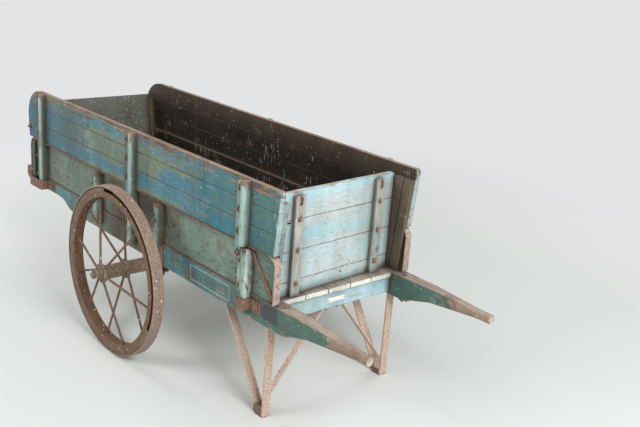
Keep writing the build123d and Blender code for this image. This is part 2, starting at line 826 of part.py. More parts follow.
# ---- Bands and stays ----
def make_band(end, direction):
    """A flat bar up the end of the lower board, round its corner and under the upper boards."""
    middle = end + direction * band_thickness / 2
    top = lower_top + band_thickness / 2
    inner_end = end - direction * lower_corner_radius
    path = [(middle, lower_bottom), (middle, top), (inner_end, top)]
    face = bent_bar(path, lower_corner_radius + band_thickness / 2 - 0.01, band_thickness)
    return side_plate(face, lower_inner, lower_inner + band_width)


def make_stay():
    """The slanting flat bar from the front stake down to the foot of the band."""
    start = (lower_stake_places["front"] + lower_rib_width / 4, lower_top - stay_width / 2)
    end = (lower_board_front - stay_width / 2, lower_bottom + stay_width)
    face = trace(Line(start, end), line_width=stay_width)
    return side_plate(face, lower_outer, lower_outer + stay_thickness)


def write_bands():
    save_pair("end_bands", [make_band(lower_board_front, 1), make_band(-lower_board_tail, -1)])
    save_both("front_stays", [make_stay()])


# ---- Legs ----
def leg_front_bar():
    pad_z = beam_bottom - leg_bar_thickness / 2
    path = [(leg_front + leg_front_pad, pad_z), (leg_front, pad_z), (leg_front, 0)]
    return centred_bar(bent_bar(path, leg_bend_radius, leg_bar_thickness))


def centred_bar(face):
    half = leg_bar_width / 2
    return side_plate(face, beam_middle - half, beam_middle + half)


def foot_back():
    """The back and the front of the foot, behind the upright bar."""
    front = leg_front - leg_bar_thickness / 2
    return front - foot_length, front


def leg_rear_bar():
    pad_z = beam_bottom - leg_bar_thickness / 2
    back = foot_back()[0] + leg_bar_thickness / 2
    slope = (leg_rear_top - back) / (pad_z - foot_height)
    path = [(leg_rear_top - leg_rear_pad, pad_z), (leg_rear_top, pad_z), (back, foot_height),
            (back - slope * foot_height, 0)]
    bar = centred_bar(bent_bar([path[0], path[1], path[3]], leg_bend_radius, leg_bar_thickness))
    return bar - block(-handle_end, handle_end, -beams_outside, 0, -beams_outside, foot_height)


def make_foot():
    """The forged block between the two bars of a leg, with its sole on the floor."""
    back, front = foot_back()
    face = make_face(Polyline((back, foot_height), (front, foot_height), (front, 0), (back + foot_heel, 0),
                              (back, foot_heel), close=True))
    return centred_bar(face)


def make_brace():
    """The flat bar from the middle of the front rail down to the inner side of the foot."""
    rail_bottom = beam_top - deck_thickness - rail_depth
    pad_z = rail_bottom - brace_thickness / 2
    tab_y = -(beam_middle - leg_bar_width / 2 - brace_thickness / 2)
    path = [(-brace_inner_end, pad_z), (-brace_inner_end - brace_pad, pad_z),
            (tab_y, foot_height + brace_tab_rise), (tab_y, foot_height + brace_tab_rise - brace_tab)]
    face = bent_bar(path, leg_bend_radius, brace_thickness)
    front = leg_front - leg_bar_thickness / 2
    return extrude(Plane.YZ.offset(front - brace_width) * face, brace_width)


def make_leg_bolts():
    """Bolts through the beam at each bar's pad, and one up into the rail through the brace."""
    bolts = []
    bolt_y = leg_bolt_inset - beam_middle
    for x in (leg_front + leg_front_pad * front_pad_bolt, leg_rear_top - leg_rear_pad * rear_pad_bolt):
        under = Pos(x, bolt_y, beam_bottom - leg_bar_thickness) * Rot(180, 0, 0) * nut()
        head = Pos(x, bolt_y, beam_top + leg_bolt_head_height / 2)
        head *= Cylinder(leg_bolt_head / 2, leg_bolt_head_height)
        bolts += [under, head]
    rail_bottom = beam_top - deck_thickness - rail_depth - brace_thickness
    x = leg_front - leg_bar_thickness / 2 - brace_width / 2
    bolts.append(Pos(x, -brace_inner_end - brace_pad / 2, rail_bottom) * Rot(180, 0, 0) * nut())
    return bolts


def write_legs():
    save_pair("leg_front_bar", [leg_front_bar()])
    save_pair("leg_rear_bar", [leg_rear_bar()])
    save_pair("foot", [make_foot()])
    save_pair("leg_brace", [make_brace()])
    save_both("leg_bolts", make_leg_bolts())


# ---- End boards ----
def end_board(heights, thickness):
    """Planks of one end board, standing on the origin with its outer face at x = 0."""
    planks = []
    low = 0.0
    for height in heights:
        planks.append(plank(-thickness, 0, -board_half_width, board_half_width,
                            low, low + height - end_plank_gap, along=Axis.Y))
        low += height
    return planks


def battens(spacing, height):
    half = batten_width / 2
    return [plank(0, batten_thickness, y - half, y + half, 0, height - batten_end_gap, along=Axis.Z)
            for y in (-spacing / 2, spacing / 2)]


def batten_nuts(spacing, rises):
    nuts = []
    for rise in rises:
        for y in (-spacing / 2, spacing / 2):
            face = nut(board_nut_width, board_nut_height, bolt_diameter, bolt_reach / 2)
            nuts.append(Pos(batten_thickness, y, rise) * Rot(0, 90, 0) * Rot(0, 0, rise + y) * face)
    return nuts


def make_hooks(spacing, height):
    """Staples near the top of the battens, where a lashing is hooked."""
    top = height - batten_end_gap - hook_diameter / 2
    path = FilletPolyline((0, 0), (hook_reach, 0), (hook_reach, -hook_height), (0, -hook_height),
                          radius=hook_diameter)
    wire = Plane.XZ * path
    section = Plane(origin=(0, 0, 0), z_dir=(1, 0, 0)) * Circle(hook_diameter / 2)
    hook = sweep(section, path=wire)
    return [Pos(batten_thickness, y, top) * hook for y in (-spacing / 2, spacing / 2)]


def place_front(shapes):
    place = Pos(front_board_place, 0, board_bottom) * Rot(0, 0, front_board_yaw)
    return [place * shape for shape in shapes]


def place_tail(shapes):
    """The tail board's outer face looks to the tail, and the board leans out at the top."""
    lean = math.radians(tail_board_lean)
    outer = tail_board_place + tail_board_thickness * math.cos(lean)
    seat = board_bottom + tail_board_thickness * math.sin(lean)
    place = Pos(-outer, 0, seat) * Rot(0, -tail_board_lean, 0) * Rot(0, 0, 180)
    return [place * shape for shape in shapes]


def write_end_boards():
    planks = end_board(front_plank_heights, front_board_thickness)
    corner = planks[-1].edges().filter_by(Axis.X).sort_by(Axis.Z)[-4:].sort_by(Axis.Y)[-1]
    planks[-1] = fillet(corner, front_board_corner)
    save("front_board_planks", place_front(planks))
    save("front_board_battens", place_front(battens(front_batten_spacing, front_board_height)))
    save("front_board_nuts", place_front(batten_nuts(front_batten_spacing, front_nut_rises)))
    save("front_board_hooks", place_front(make_hooks(front_batten_spacing, front_board_height)))
    save("tail_board_planks", place_tail(end_board(tail_plank_heights, tail_board_thickness)))
    save("tail_board_battens", place_tail(battens(tail_batten_spacing, tail_board_height)))
    save("tail_board_nuts", place_tail(batten_nuts(tail_batten_spacing, tail_nut_rises)))


# ---- Cleats ----
def front_board_face(side):
    """Where the front board's outer face crosses the cleats on one side, from the axle."""
    return front_board_place - side * board_half_width * math.sin(math.radians(front_board_yaw))


def leaning_bar(x0, x1, z0, z1, lean):
    """A bar's side view: a parallelogram that leans by a slope along X."""
    shift = (z1 - z0) * lean
    return make_face(Polyline((x0, z0), (x1, z0), (x1 + shift, z1), (x0 + shift, z1), close=True))


def tapered_bar(x0, x1, z0, z1, lean):
    """A bar's side view with one upright edge, and one edge that leans."""
    shift = (z1 - z0) * lean
    return make_face(Polyline((x0, z0), (x1, z0), (x1 + shift, z1), (x0, z1), close=True))


def front_cleats(side):
    """On the inside of one side: a cleat behind the front board, a wedge before it, an end batten.
    Where the board stands askew and leaves no room, the wedge and the batten are one."""
    top = side_top - cleat_top_drop
    reach = lower_inner - cleat_reach
    outer_face = front_board_face(side)
    inner_face = outer_face - front_board_thickness
    askew = 2 * cleat_reach * math.sin(math.radians(front_board_yaw))
    behind_end = inner_face - cleat_clearance - askew
    rise = top - beam_top
    wedge_foot = outer_face + cleat_clearance + askew
    batten_front = upper_front + (beam_top - upper_bottom) * rake
    batten_foot = batten_front - end_batten_width
    faces = [leaning_bar(behind_end - inner_cleat_width, behind_end, beam_top, top, 0)]
    if wedge_foot < batten_foot:
        faces.append(leaning_bar(batten_foot, batten_front, beam_top, top, rake))
        batten_foot -= cleat_gap
        faces.append(tapered_bar(wedge_foot, batten_foot, beam_top, top, rake))
    else:
        faces.append(tapered_bar(wedge_foot, batten_front, beam_top, top, rake))
    return [side_plate(face, reach, upper_inner) - side_section() for face in faces]


def tail_cleats():
    """Leaning cleats on both sides of the tail board's ends."""
    top = side_top - cleat_top_drop * 2
    reach = lower_inner - cleat_reach
    lean = math.radians(tail_board_lean)
    slope = -math.tan(lean)
    gap = cleat_clearance / math.cos(lean)
    inner = -tail_board_place + gap
    outer = -tail_board_place - tail_board_thickness / math.cos(lean) - gap
    faces = [
        leaning_bar(inner, inner + inner_cleat_width, beam_top, top, slope),
        leaning_bar(outer - tail_stop_width, outer, beam_top, top, slope),
    ]
    return [side_plate(face, reach, upper_inner) - side_section() for face in faces]


def write_cleats():
    save("left_cleats", front_cleats(-1) + tail_cleats())
    save("right_cleats", mirrored(front_cleats(1) + tail_cleats()))


os.makedirs("parts", exist_ok=True)
write_wheels()
write_axle()
write_beams()
write_bed()
write_sides()
write_stakes()
write_shoes()
write_bands()
write_legs()
write_end_boards()
write_cleats()
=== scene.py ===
import math
import random

import bmesh
import bpy
from mathutils import Matrix, Vector


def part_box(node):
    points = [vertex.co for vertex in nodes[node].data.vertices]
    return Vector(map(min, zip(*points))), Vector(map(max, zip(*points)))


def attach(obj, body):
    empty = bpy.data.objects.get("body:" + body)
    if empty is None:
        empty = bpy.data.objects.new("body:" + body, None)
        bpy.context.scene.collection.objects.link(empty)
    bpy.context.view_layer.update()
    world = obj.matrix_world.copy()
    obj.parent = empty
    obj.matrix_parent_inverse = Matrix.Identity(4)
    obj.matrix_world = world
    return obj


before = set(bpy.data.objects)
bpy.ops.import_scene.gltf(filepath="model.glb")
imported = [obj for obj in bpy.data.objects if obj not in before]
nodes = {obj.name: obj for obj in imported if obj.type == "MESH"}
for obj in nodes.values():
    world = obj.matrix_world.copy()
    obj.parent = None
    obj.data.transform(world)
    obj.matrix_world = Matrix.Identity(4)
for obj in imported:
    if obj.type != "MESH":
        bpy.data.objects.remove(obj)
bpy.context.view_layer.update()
MM = 0.001

# ---- Places read from the solids, in metres ----
left_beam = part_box("left_beam")
left_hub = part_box("left_hub")
front_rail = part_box("front_rail")
front_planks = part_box("front_board_planks")
upper_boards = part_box("left_upper_boards")
lower_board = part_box("left_lower_board")
axle_x = (left_hub[0][0] + left_hub[1][0]) / 2
strip_thickness = 5 * MM    # the iron strip that the lower board stands on
beam_top = lower_board[0][2] - strip_thickness
beam_face = left_beam[0][1]


# ---- Materials: one node tree for each finish ----
def linear(colour):
    """An sRGB hex colour as linear RGBA."""
    channels = [int(colour[i:i + 2], 16) / 255 for i in (1, 3, 5)]
    return tuple(c / 12.92 if c <= 0.04045 else ((c + 0.055) / 1.055) ** 2.4 for c in channels) + (1.0,)


EASED = {"interpolation_type": "SMOOTHSTEP"}
TIMES = {"operation": "MULTIPLY"}
PLUS = {"operation": "ADD"}
LARGER = {"operation": "MAXIMUM"}
BLEND = {"data_type": "RGBA"}
DARKEN = {"data_type": "RGBA", "blend_type": "MULTIPLY"}

# How far wood fibres and short flakes are drawn out along the grain, for each way it can run.
FIBRE = {"X": (26, 1, 1), "Y": (1, 26, 1), "Z": (1, 1, 26)}
FLAKE = {"X": (3, 1, 1), "Y": (1, 3, 1), "Z": (1, 1, 3)}
BRUSH = {"X": (8, 1, 1), "Y": (1, 8, 1), "Z": (1, 1, 8)}


class Nodes:
    """A node tree of a material or of the world."""

    def __init__(self, tree):
        self.tree = tree

    def add(self, kind, *inputs, output=None, **settings):
        """Adds a node. Its open inputs take the values or links in order, and one output comes back."""
        node = self.tree.nodes.new("ShaderNode" + kind)
        for name, value in settings.items():
            setattr(node, name, value)
        for socket, value in zip([socket for socket in node.inputs if socket.enabled], inputs):
            if isinstance(value, bpy.types.NodeSocket):
                self.tree.links.new(value, socket)
            elif value is not None:
                socket.default_value = value
        open_outputs = [socket for socket in node.outputs if socket.enabled]
        return node.outputs[output] if output else open_outputs[0]


class Finish(Nodes):
    """The nodes of one material. Its patterns are laid out in object space, in metres."""

    def __init__(self, name):
        self.material = bpy.data.materials.new(name)
        self.material.use_nodes = True
        super().__init__(self.material.node_tree)
        self.shader = self.tree.nodes["Principled BSDF"]
        self.place = self.add("TexCoord", output="Object")
        self.facing = self.add("TexCoord", output="Normal")

    def lay(self, colour, *coats):
        """Lays coats on a colour, one after another. A coat is a hex colour, a mask and a strength."""
        for coat, mask, strength in coats:
            cover = self.add("Math", mask, strength, **TIMES)
            colour = self.add("Mix", cover, colour, linear(coat), **BLEND)
        return colour

    def lumps(self, size, stretch=(1, 1, 1), detail=3.0, shift=0.0):
        """Cloudy noise with lumps about size metres across, drawn out by stretch."""
        scale = [1 / (size * s) for s in stretch]
        spot = self.add("Mapping", self.place, (shift, shift, shift), (0, 0, 0), scale)
        return self.add("TexNoise", spot, 1.0, detail, 0.6)

    def patches(self, size, low, high, stretch=(1, 1, 1), detail=4.0, shift=0.0):
        """1 on ragged patches: where the lumps pass from low to high."""
        return self.add("MapRange", self.lumps(size, stretch, detail, shift), low, high, **EASED)

    def dots(self, size, spacing, share, shift):
        """1 on scattered round dots. share is roughly how many of the places have one."""
        spot = self.add("Mapping", self.place, (shift, 0, shift))
        middle = self.add("TexVoronoi", spot, 1 / spacing)
        cloud = self.lumps(spacing * 1.7, detail=0, shift=shift)
        chance = self.add("MapRange", cloud, 0.62 - share, 0.64 - share)
        dot = self.add("MapRange", middle, size / spacing * 0.35, size / spacing * 0.5, 1.0, 0.0, **EASED)
        return self.add("Math", dot, chance, **TIMES)

    def runs(self, size, share, shift=0.0):
        """1 on thin drips that have run down, in a few places."""
        thread = self.patches(size, 0.62, 0.68, (1, 1, 14), 2, shift)
        where = self.patches(0.17, 0.68 - share, 0.74 - share, detail=2, shift=shift + 2.2)
        return self.add("Math", thread, where, **TIMES)

    def upward(self):
        """1 on faces that look up."""
        return self.add("MapRange", self.add("SeparateXYZ", self.facing, output="Z"), 0.6, 0.9, **EASED)

    def inside(self):
        """1 on the faces that look in towards the load."""
        facing_y = self.add("SeparateXYZ", self.facing, output="Y")
        y = self.add("SeparateXYZ", self.place, output="Y")
        return self.add("MapRange", self.add("Math", facing_y, y, **TIMES), -0.25, -0.1, 1.0, 0.0, **EASED)

    def endwise(self):
        """1 on faces that look to the handles or the tail."""
        facing_x = self.add("SeparateXYZ", self.facing, output="X")
        return self.add("MapRange", self.add("Math", facing_x, operation="ABSOLUTE"), 0.6, 0.8, **EASED)

    # A mask for the painted highlight along what stands out furthest.
    def crest_highlight(self, inner, outer):
        """1 on what stands out furthest to the side, 0 nearer the middle of the cart."""
        y = self.add("SeparateXYZ", self.place, output="Y")
        return self.add("MapRange", self.add("Math", y, operation="ABSOLUTE"), inner, outer, **EASED)

    def near_top(self, start, top):
        """Rises from 0 to 1 between two heights."""
        return self.add("MapRange", self.add("SeparateXYZ", self.place, output="Z"), start, top)

    def stretch_between(self, start, end, wander):
        """1 between two places along the cart, with a ragged edge."""
        x = self.add("SeparateXYZ", self.place, output="X")
        ragged = self.add("Math", self.lumps(0.06, (2, 1, 1), 6, 3.3), 4 * wander, -2 * wander,
                          operation="MULTIPLY_ADD")
        x = self.add("Math", x, ragged, **PLUS)
        after = self.add("MapRange", x, start, start + 0.03, **EASED)
        before = self.add("MapRange", x, end - 0.03, end, 1.0, 0.0, **EASED)
        return self.add("Math", after, before, **TIMES)

    def edge_wear(self, radius):
        """1 along sharp edges, broken up in lumps."""
        rounded = self.add("Bevel", radius, samples=4)
        flat = self.add("NewGeometry", output="Normal")
        turn = self.add("VectorMath", rounded, flat, operation="DOT_PRODUCT", output="Value")
        wear = self.add("MapRange", turn, 0.9, 0.99, 1.0, 0.0, **EASED)
        return self.add("Math", wear, self.patches(12 * MM, 0.38, 0.58), **TIMES)

    # A mask from ambient occlusion, for colour that is partly dirt and partly painted shade in corners.
    def corners(self, reach):
        """1 in corners, where another piece stands close by."""
        open_air = self.add("AmbientOcclusion", None, reach, output="AO", samples=4)
        return self.add("MapRange", open_air, 0.5, 0.95, 1.0, 0.0, **EASED)

    def finish(self, colour, roughness, height, bump, ior=1.5):
        relief = self.add("Bump", 1.0, bump)
        self.tree.links.new(height, relief.node.inputs["Height"])
        self.tree.links.new(relief, self.shader.inputs["Normal"])
        self.tree.links.new(colour, self.shader.inputs["Base Color"])
        self.tree.links.new(roughness, self.shader.inputs["Roughness"])
        self.shader.inputs["IOR"].default_value = ior
        return self.material


def bare_timber(finish, pale, dark, along):
    """Weathered softwood without paint. Its fibres are drawn 3 mm wide, coarse enough to show."""
    fibres = finish.lumps(3 * MM, FIBRE[along], 5)
    broad = finish.lumps(30 * MM, FIBRE[along], 3, 3.1)
    broad = finish.add("Math", broad, 0.4, **TIMES)
    grain = finish.add("Math", fibres, 0.6, broad, operation="MULTIPLY_ADD")
    colour = finish.lay(linear(dark), (pale, finish.add("MapRange", grain, 0.4, 0.6, **EASED), 1.0))
    return colour, fibres


def brushed_coats(finish, coats, along, rub_through):
    """Thin coats rubbed through to one another, in patches and in streaks along the grain."""
    main, faded, older, thin = coats
    chance = finish.add("NewGeometry", output="Random Per Island")
    board = finish.add("MapRange", chance, 0.0, 1.0, 0.0, 0.5)
    rubbed = finish.add("Math", finish.patches(0.11, 0.44, 0.54, BRUSH[along], 4, 5.3),
                        finish.patches(8 * MM, 0.36, 0.52, BRUSH[along], 7, 0.9), **TIMES)
    return finish.lay(linear(main),
                      (faded, board, 1.0),
                      (faded, finish.patches(0.3, 0.4, 0.6, FLAKE[along], 5, 1.7), 0.9),
                      (older, rubbed, rub_through),
                      (thin, finish.patches(7 * MM, 0.46, 0.68, BRUSH[along], 9, 7.9), 0.6))


def painted_timber(name, coats, along="X", wood=("#9b8672", "#5d4a3d"), top="#a08b7b", rubbed=0.5,
                   chips=0.5, drips=0.3, specks=0.5, dirt=0.5, inside_shade=None, ends=None, rim=None,
                   crest_highlight=None, rub_through=0.85, stains=0.45, edge=6 * MM, stretches=()):
    """Old brush-painted boards: chalky and matt, with wood showing at edges, in chips and on top.
    rubbed, chips, drips, specks, dirt and stains say how much of each shows. lining paints shade on the
    faces that look in at the load, ends colours the sawn ends, and crest paints a highlight on what stands
    out furthest. rim is a height from which the paint is rubbed away more and more, and from which painted
    shade inside grows lighter;
    stretches are lengths in another colour.
    Chips are about 13 mm, splits 2 mm, and drips and specks 5 mm: finer ones wouldn't show."""
    finish = Finish(name)
    bare, fibres = bare_timber(finish, *wood, along)
    paint = brushed_coats(finish, coats, along, rub_through)
    for colour, start, end, strength in stretches:
        paint = finish.lay(paint, (colour, finish.stretch_between(start, end, 0.12), strength))
    if ends:
        paint = finish.lay(paint, (ends, finish.endwise(), 1.0))
    # A painted highlight on what stands out furthest.
    if crest_highlight:
        highlight_colour, inner, outer = crest_highlight
        paint = finish.lay(paint, (highlight_colour, finish.crest_highlight(inner, outer), 0.85))

    flaking = finish.add("Math", finish.lumps(13 * MM, FLAKE[along], 8, 9.1), 0.8,
                         finish.add("Math", fibres, 0.2, **TIMES), operation="MULTIPLY_ADD")
    chipped = finish.add("MapRange", flaking, 0.64 - 0.1 * chips, 0.66 - 0.1 * chips, **EASED)
    many = finish.patches(0.11, 0.4, 0.62, detail=4, shift=4.9)
    chipped = finish.add("Math", chipped, many, **TIMES)
    if rim:
        ragged = finish.add("Math", finish.lumps(16 * MM, BRUSH[along], 7, 2.7), 1.6, finish.near_top(*rim),
                            operation="MULTIPLY_ADD")
        chipped = finish.add("Math", chipped, finish.add("MapRange", ragged, 1.45, 1.6, **EASED), **LARGER)
    worn = finish.add("Math", chipped, finish.edge_wear(edge), **LARGER)
    scrubbed = finish.patches(18 * MM, 0.6 - 0.4 * rubbed, 0.7 - 0.3 * rubbed, FLAKE[along], 5, 6.2)
    upper = finish.upward()
    worn = finish.add("Math", worn, finish.add("Math", upper, scrubbed, **TIMES), **LARGER)
    bare = finish.lay(bare, (top, upper, 0.45))
    colour = finish.add("Mix", worn, paint, bare, **BLEND)
    # Faces that look in at the load get painted shade: dark bare wood deepened to nearly black, with darker
    # grain, patches and white drips.
    if inside_shade:
        dark, lighter, lighter_shade_patches = inside_shade
        shade = finish.lay(linear(dark),
                           (lighter, finish.add("MapRange", fibres, 0.35, 0.65, **EASED), 1.0),
                           (lighter_shade_patches, finish.patches(0.13, 0.45, 0.65, FLAKE[along], 5, 6.7), 0.7),
                           ("#cfd0c8", finish.runs(5 * MM, 0.11, 9.4), 0.75))
        # Inside, the painted shade grows lighter towards the top of the boards, where more light reaches
        # in.
        if rim:
            shade = finish.lay(shade, ("#655543", finish.near_top(*rim), 0.5))
        colour = finish.add("Mix", finish.inside(), colour, shade, **BLEND)

    splits = finish.patches(2.2 * MM, 0.65, 0.72, FIBRE[along], 2, 13.7)
    muddy = finish.patches(0.1, 0.72 - 0.24 * dirt, 0.86 - 0.2 * dirt, detail=7, shift=1.1)
    colour = finish.lay(colour,
                        ("#cdd2cc", finish.runs(5 * MM, 0.2 * drips, 11.3), 0.75),
                        ("#dedfd6", finish.dots(6 * MM, 26 * MM, 0.1 * specks, 4.4), 1.0),
                        ("#6b5645", muddy, 0.6),
                        ("#3f342b", splits, 0.6),
                        ("#4a453c", finish.runs(11 * MM, 0.25, 5.1), stains),
                        # Corners darkened: partly dirt, partly painted shade.
                        ("#43362c", finish.corners(40 * MM), 0.9))
    grime = finish.add("MapRange", finish.lumps(0.2, (1, 1, 2), 9, 8.8), 0.3, 0.7, 1.14, 0.72, **EASED)
    colour = finish.add("Mix", 1.0, colour, grime, **DARKEN)
    roughness = finish.add("MapRange", worn, 0.0, 1.0, 0.5, 0.85)
    proud = finish.add("Math", worn, 0.35, **TIMES)
    proud = finish.add("Math", proud, finish.add("Math", splits, 0.5, **TIMES), **LARGER)
    height = finish.add("Math", finish.add("Math", fibres, 0.5, **TIMES), proud, operation="SUBTRACT")
    # Dry, porous wood and chalky paint shine less than a sealed coat.
    return finish.finish(colour, roughness, height, 1.2 * MM, ior=1.33)


def rusted_iron(name, light, dark, left=None, cover=0.5, specks=0.2, inside_shade=None, blotch=6 * MM,
                scab=11 * MM, edge="#b39a88", speck=5 * MM):
    """Wrought iron left to rust: matt, blotched and pitted. left is old paint still on it, in scabs.
    Rust has no bare metal to show, so it isn't metallic. Pits are drawn 2.4 mm wide, so that they show."""
    finish = Finish(name)
    cloud = finish.lumps(blotch, detail=8)
    pits = finish.patches(2.4 * MM, 0.56, 0.7, detail=4, shift=3.7)
    colour = finish.lay(linear(dark), (light, finish.add("MapRange", cloud, 0.38, 0.62, **EASED), 1.0),
                        ("#3a2a22", pits, 0.45))
    if left:
        colour = finish.lay(colour, (left, finish.patches(scab, 0.64 - 0.2 * cover, 0.72 - 0.2 * cover,
                                                          detail=9, shift=6.6), 0.7))
    # Faces that look in at the load get painted shade.
    if inside_shade:
        colour = finish.lay(colour, (inside_shade, finish.inside(), 1.0))
    colour = finish.lay(colour,
                        ("#dedfd6", finish.dots(speck, 26 * MM, 0.1 * specks, 2.6), 1.0),
                        # Lighter edges: partly rubbed rust, partly a painted highlight.
                        (edge, finish.edge_wear(3 * MM), 0.5),
                        # Corners darkened: partly rust and dirt, partly painted shade.
                        ("#3c2d25", finish.corners(14 * MM), 0.6))
    roughness = finish.add("MapRange", cloud, 0.3, 0.7, 0.62, 0.85)
    height = finish.add("Math", pits, -0.5, cloud, operation="MULTIPLY_ADD")
    return finish.finish(colour, roughness, height, 0.6 * MM)


# Painted shade for the faces that look in at the load: near-black brown, with lighter grain and patches.
INSIDE_SHADE = ("#0a0704", "#1c150d", "#2a2017")

# Heights and faces where paint wears, and lengths of the cart that have their own colour.
boards_top = upper_boards[1][2]
front_board_top = front_planks[1][2]
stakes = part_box("left_upper_stakes")
stakes_top = stakes[1][2]
stakes_face = -stakes[0][1]
low_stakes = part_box("left_lower_stakes")
low_stakes_top = low_stakes[1][2]
low_stakes_face = -low_stakes[0][1]
behind_wheel = (axle_x - 0.42, axle_x + 0.10)
by_tail = (axle_x - 1.4, axle_x - 0.6)
by_lower_tail = (axle_x - 1.3, axle_x - 0.5)
tail_stakes = (axle_x - 1.4, axle_x - 0.9)
front_stakes = (axle_x + 0.6, axle_x + 1.0)
by_front = (axle_x + 0.45, axle_x + 1.0)
shafts = (axle_x + 0.72, axle_x + 1.7)
handles = (axle_x + 1.26, axle_x + 1.7)

# Milk paint on softwood boards: a chalky blue, rubbed, with an older yellow-green coat below it.
upper_paint = painted_timber("blue_milk_paint", ("#527e89", "#457f91", "#84865a", "#7b9597"), rubbed=0.9,
                             inside_shade=INSIDE_SHADE, ends="#9fb6b5", chips=0.75, drips=0.35, specks=0.7,
                             rim=(boards_top - 0.13, boards_top + 0.02),
                             stretches=[("#41606a", *by_tail, 0.65), ("#2c6e78", *by_front, 0.65)])
# The same boards lower down, where a thin grey-green coat is chipped, and muddy behind the wheel.
lower_paint = painted_timber("grey_green_paint", ("#748a7d", "#7f9488", "#5c746e", "#8b998a"),
                             wood=("#8c725f", "#503c2f"), inside_shade=INSIDE_SHADE, chips=0.95, drips=0.2,
                             specks=0.4, dirt=0.9,
                             stretches=[("#64574a", *behind_wheel, 0.8), ("#6a7a6c", *by_lower_tail, 0.5)])
# Stakes are hit by loads and hands: bare on the corners and dark green beside them. Their crest is pale,
# with a painted highlight.
upper_stake_paint = painted_timber("mottled_stake_paint", ("#60796f", "#69857b", "#525c46", "#7b978e"),
                                   along="Z", wood=("#8f7764", "#5a4434"), top="#b09c8a", rubbed=1.0,
                                   chips=1.0, drips=0.4, specks=0.9, dirt=0.9, edge=9 * MM,
                                   rim=(stakes_top - 0.08, stakes_top + 0.01),
                                   crest_highlight=("#a3c0b9", stakes_face - 13 * MM, stakes_face - 2 * MM),
                                   stretches=[("#9dbab2", *front_stakes, 0.6),
                                              ("#4a5a4e", *tail_stakes, 0.8)])
# The lower stakes are darker, with mud from the wheel, palest at the front, and have a painted highlight on
# the crest.
lower_stake_paint = painted_timber("dark_green_stake_paint", ("#536a5d", "#5f786b", "#4f5641", "#71897f"),
                                   along="Z", wood=("#846b58", "#4f3c2f"), top="#7a6654", rubbed=1.0,
                                   chips=1.0, drips=0.2, specks=0.6, dirt=0.9, edge=9 * MM,
                                   rim=(low_stakes_top - 0.07, low_stakes_top + 0.01),
                                   crest_highlight=("#84a196", low_stakes_face - 15 * MM, low_stakes_face - 2 * MM),
                                   stretches=[("#c9dbd6", *front_stakes, 0.8),
                                              ("#4a5a4e", *tail_stakes, 0.8)])
# The front board is a chalky pale blue, rubbed to a pink undercoat in soft patches.
board_paint = painted_timber("pale_blue_paint", ("#abc5c5", "#9bbcc4", "#c3a397", "#b9cece"), along="Y",
                             wood=("#b09a88", "#7d6653"), top="#a08a7a", chips=0.45, drips=0.1, specks=0.3,
                             dirt=0.3, stains=0, rub_through=0.4,
                             rim=(front_board_top - 0.05, front_board_top + 0.03))
# The rail below it keeps more of the same paint, bluer and more even.
rail_paint = painted_timber("pale_blue_rail_paint", ("#9bbcc6", "#92b7c3", "#9fb3b2", "#b4c8cb"), along="Y",
                            wood=("#b09a88", "#7d6653"), top="#b09a8a", chips=0.4, drips=0.1, specks=0.2,
                            dirt=0.3, stains=0)
# Battens are greyer, and worn to brown wood along their edges.
batten_paint = painted_timber("pale_green_batten_paint", ("#a3b3ad", "#97aba8", "#a8968a", "#b5c1bc"),
                              along="Z", wood=("#a8917e", "#75604f"), top="#b09a8a", chips=0.9, drips=0.1,
                              specks=0.3, dirt=0.6, stains=0, edge=8 * MM)
# The tail board is dull grey-green, with long white drips and specks of limewash.
tail_paint = painted_timber("tail_board_paint", ("#5c655e", "#666f67", "#6c6150", "#737a71"), along="Y",
                            top="#7d6f5f", chips=0.7, drips=1.1, specks=0.9, dirt=0.8,
                            rim=(boards_top - 0.07, boards_top + 0.02))
# Blue under the load, dark green on the shafts, and bare where hands and weather have worn the handles.
beam_paint = painted_timber("blue_green_beam_paint", ("#4a7880", "#538387", "#5a6a55", "#5f8a8c"),
                            wood=("#ad9986", "#5f4c3e"), top="#aba094", rubbed=1.0, chips=1.0, drips=0.1,
                            specks=4.0, dirt=0.7, ends="#c4b19d", edge=12 * MM,
                            stretches=[("#665a4c", *behind_wheel, 0.85), ("#4a6a5f", *shafts, 0.9),
                                       ("#8f7b6a", *handles, 1.0)])
# Floor planks were never painted: silver-grey, with pale sawn ends.
deck_wood = painted_timber("bare_floor_planks", ("#b3aa9d", "#a69d90", "#91877b", "#bdb5a9"), top="#b4ada1",
                           chips=0.7, drips=0, specks=0.6, dirt=0.3, ends="#dad9d0", stains=0)
# The packing under the tyre is dry brown wood with open grain.
packing_wood = painted_timber("dry_rim_wood", ("#7c6a5a", "#6b5a4b", "#544639", "#877564"), chips=0.9,
                              drips=0, specks=0)
# Wood inside the bed is dark with age and dirt, and lighter on its rubbed edges.
inner_wood = painted_timber("darkened_inner_wood", ("#5c5044", "#463c32", "#6b5f50", "#6d6352"), along="Z",
                            wood=("#8b7562", "#4a3a2e"), top="#8a7c6c", chips=0.9, drips=0.1, specks=0.6,
                            dirt=0.8)
# The near cleats still have paint on the side that faces out.
near_cleat_paint = painted_timber("pale_cleat_paint", ("#8fa3a1", "#869d9d", "#7b7263", "#9db0ae"),
                                  along="Z", inside_shade=INSIDE_SHADE, chips=1.0, drips=0, specks=0.3, dirt=1.0)
# Axle blocks are brown with grease and road dirt.
axle_wood = painted_timber("oily_axle_block_wood", ("#5c4f41", "#6a5b4b", "#41372d", "#75685a"),
                           top="#6f6152", chips=0.8, drips=0, specks=0.2, dirt=1.0)

# Strap iron: thin dark rust with flakes of the boards' grey-green paint, and painted shade on the faces
# that look in.
strip_iron = rusted_iron("rusted_strap_iron", "#7f5f4c", "#553d31", left="#74857f", cover=0.3,
                         inside_shade="#33291f")
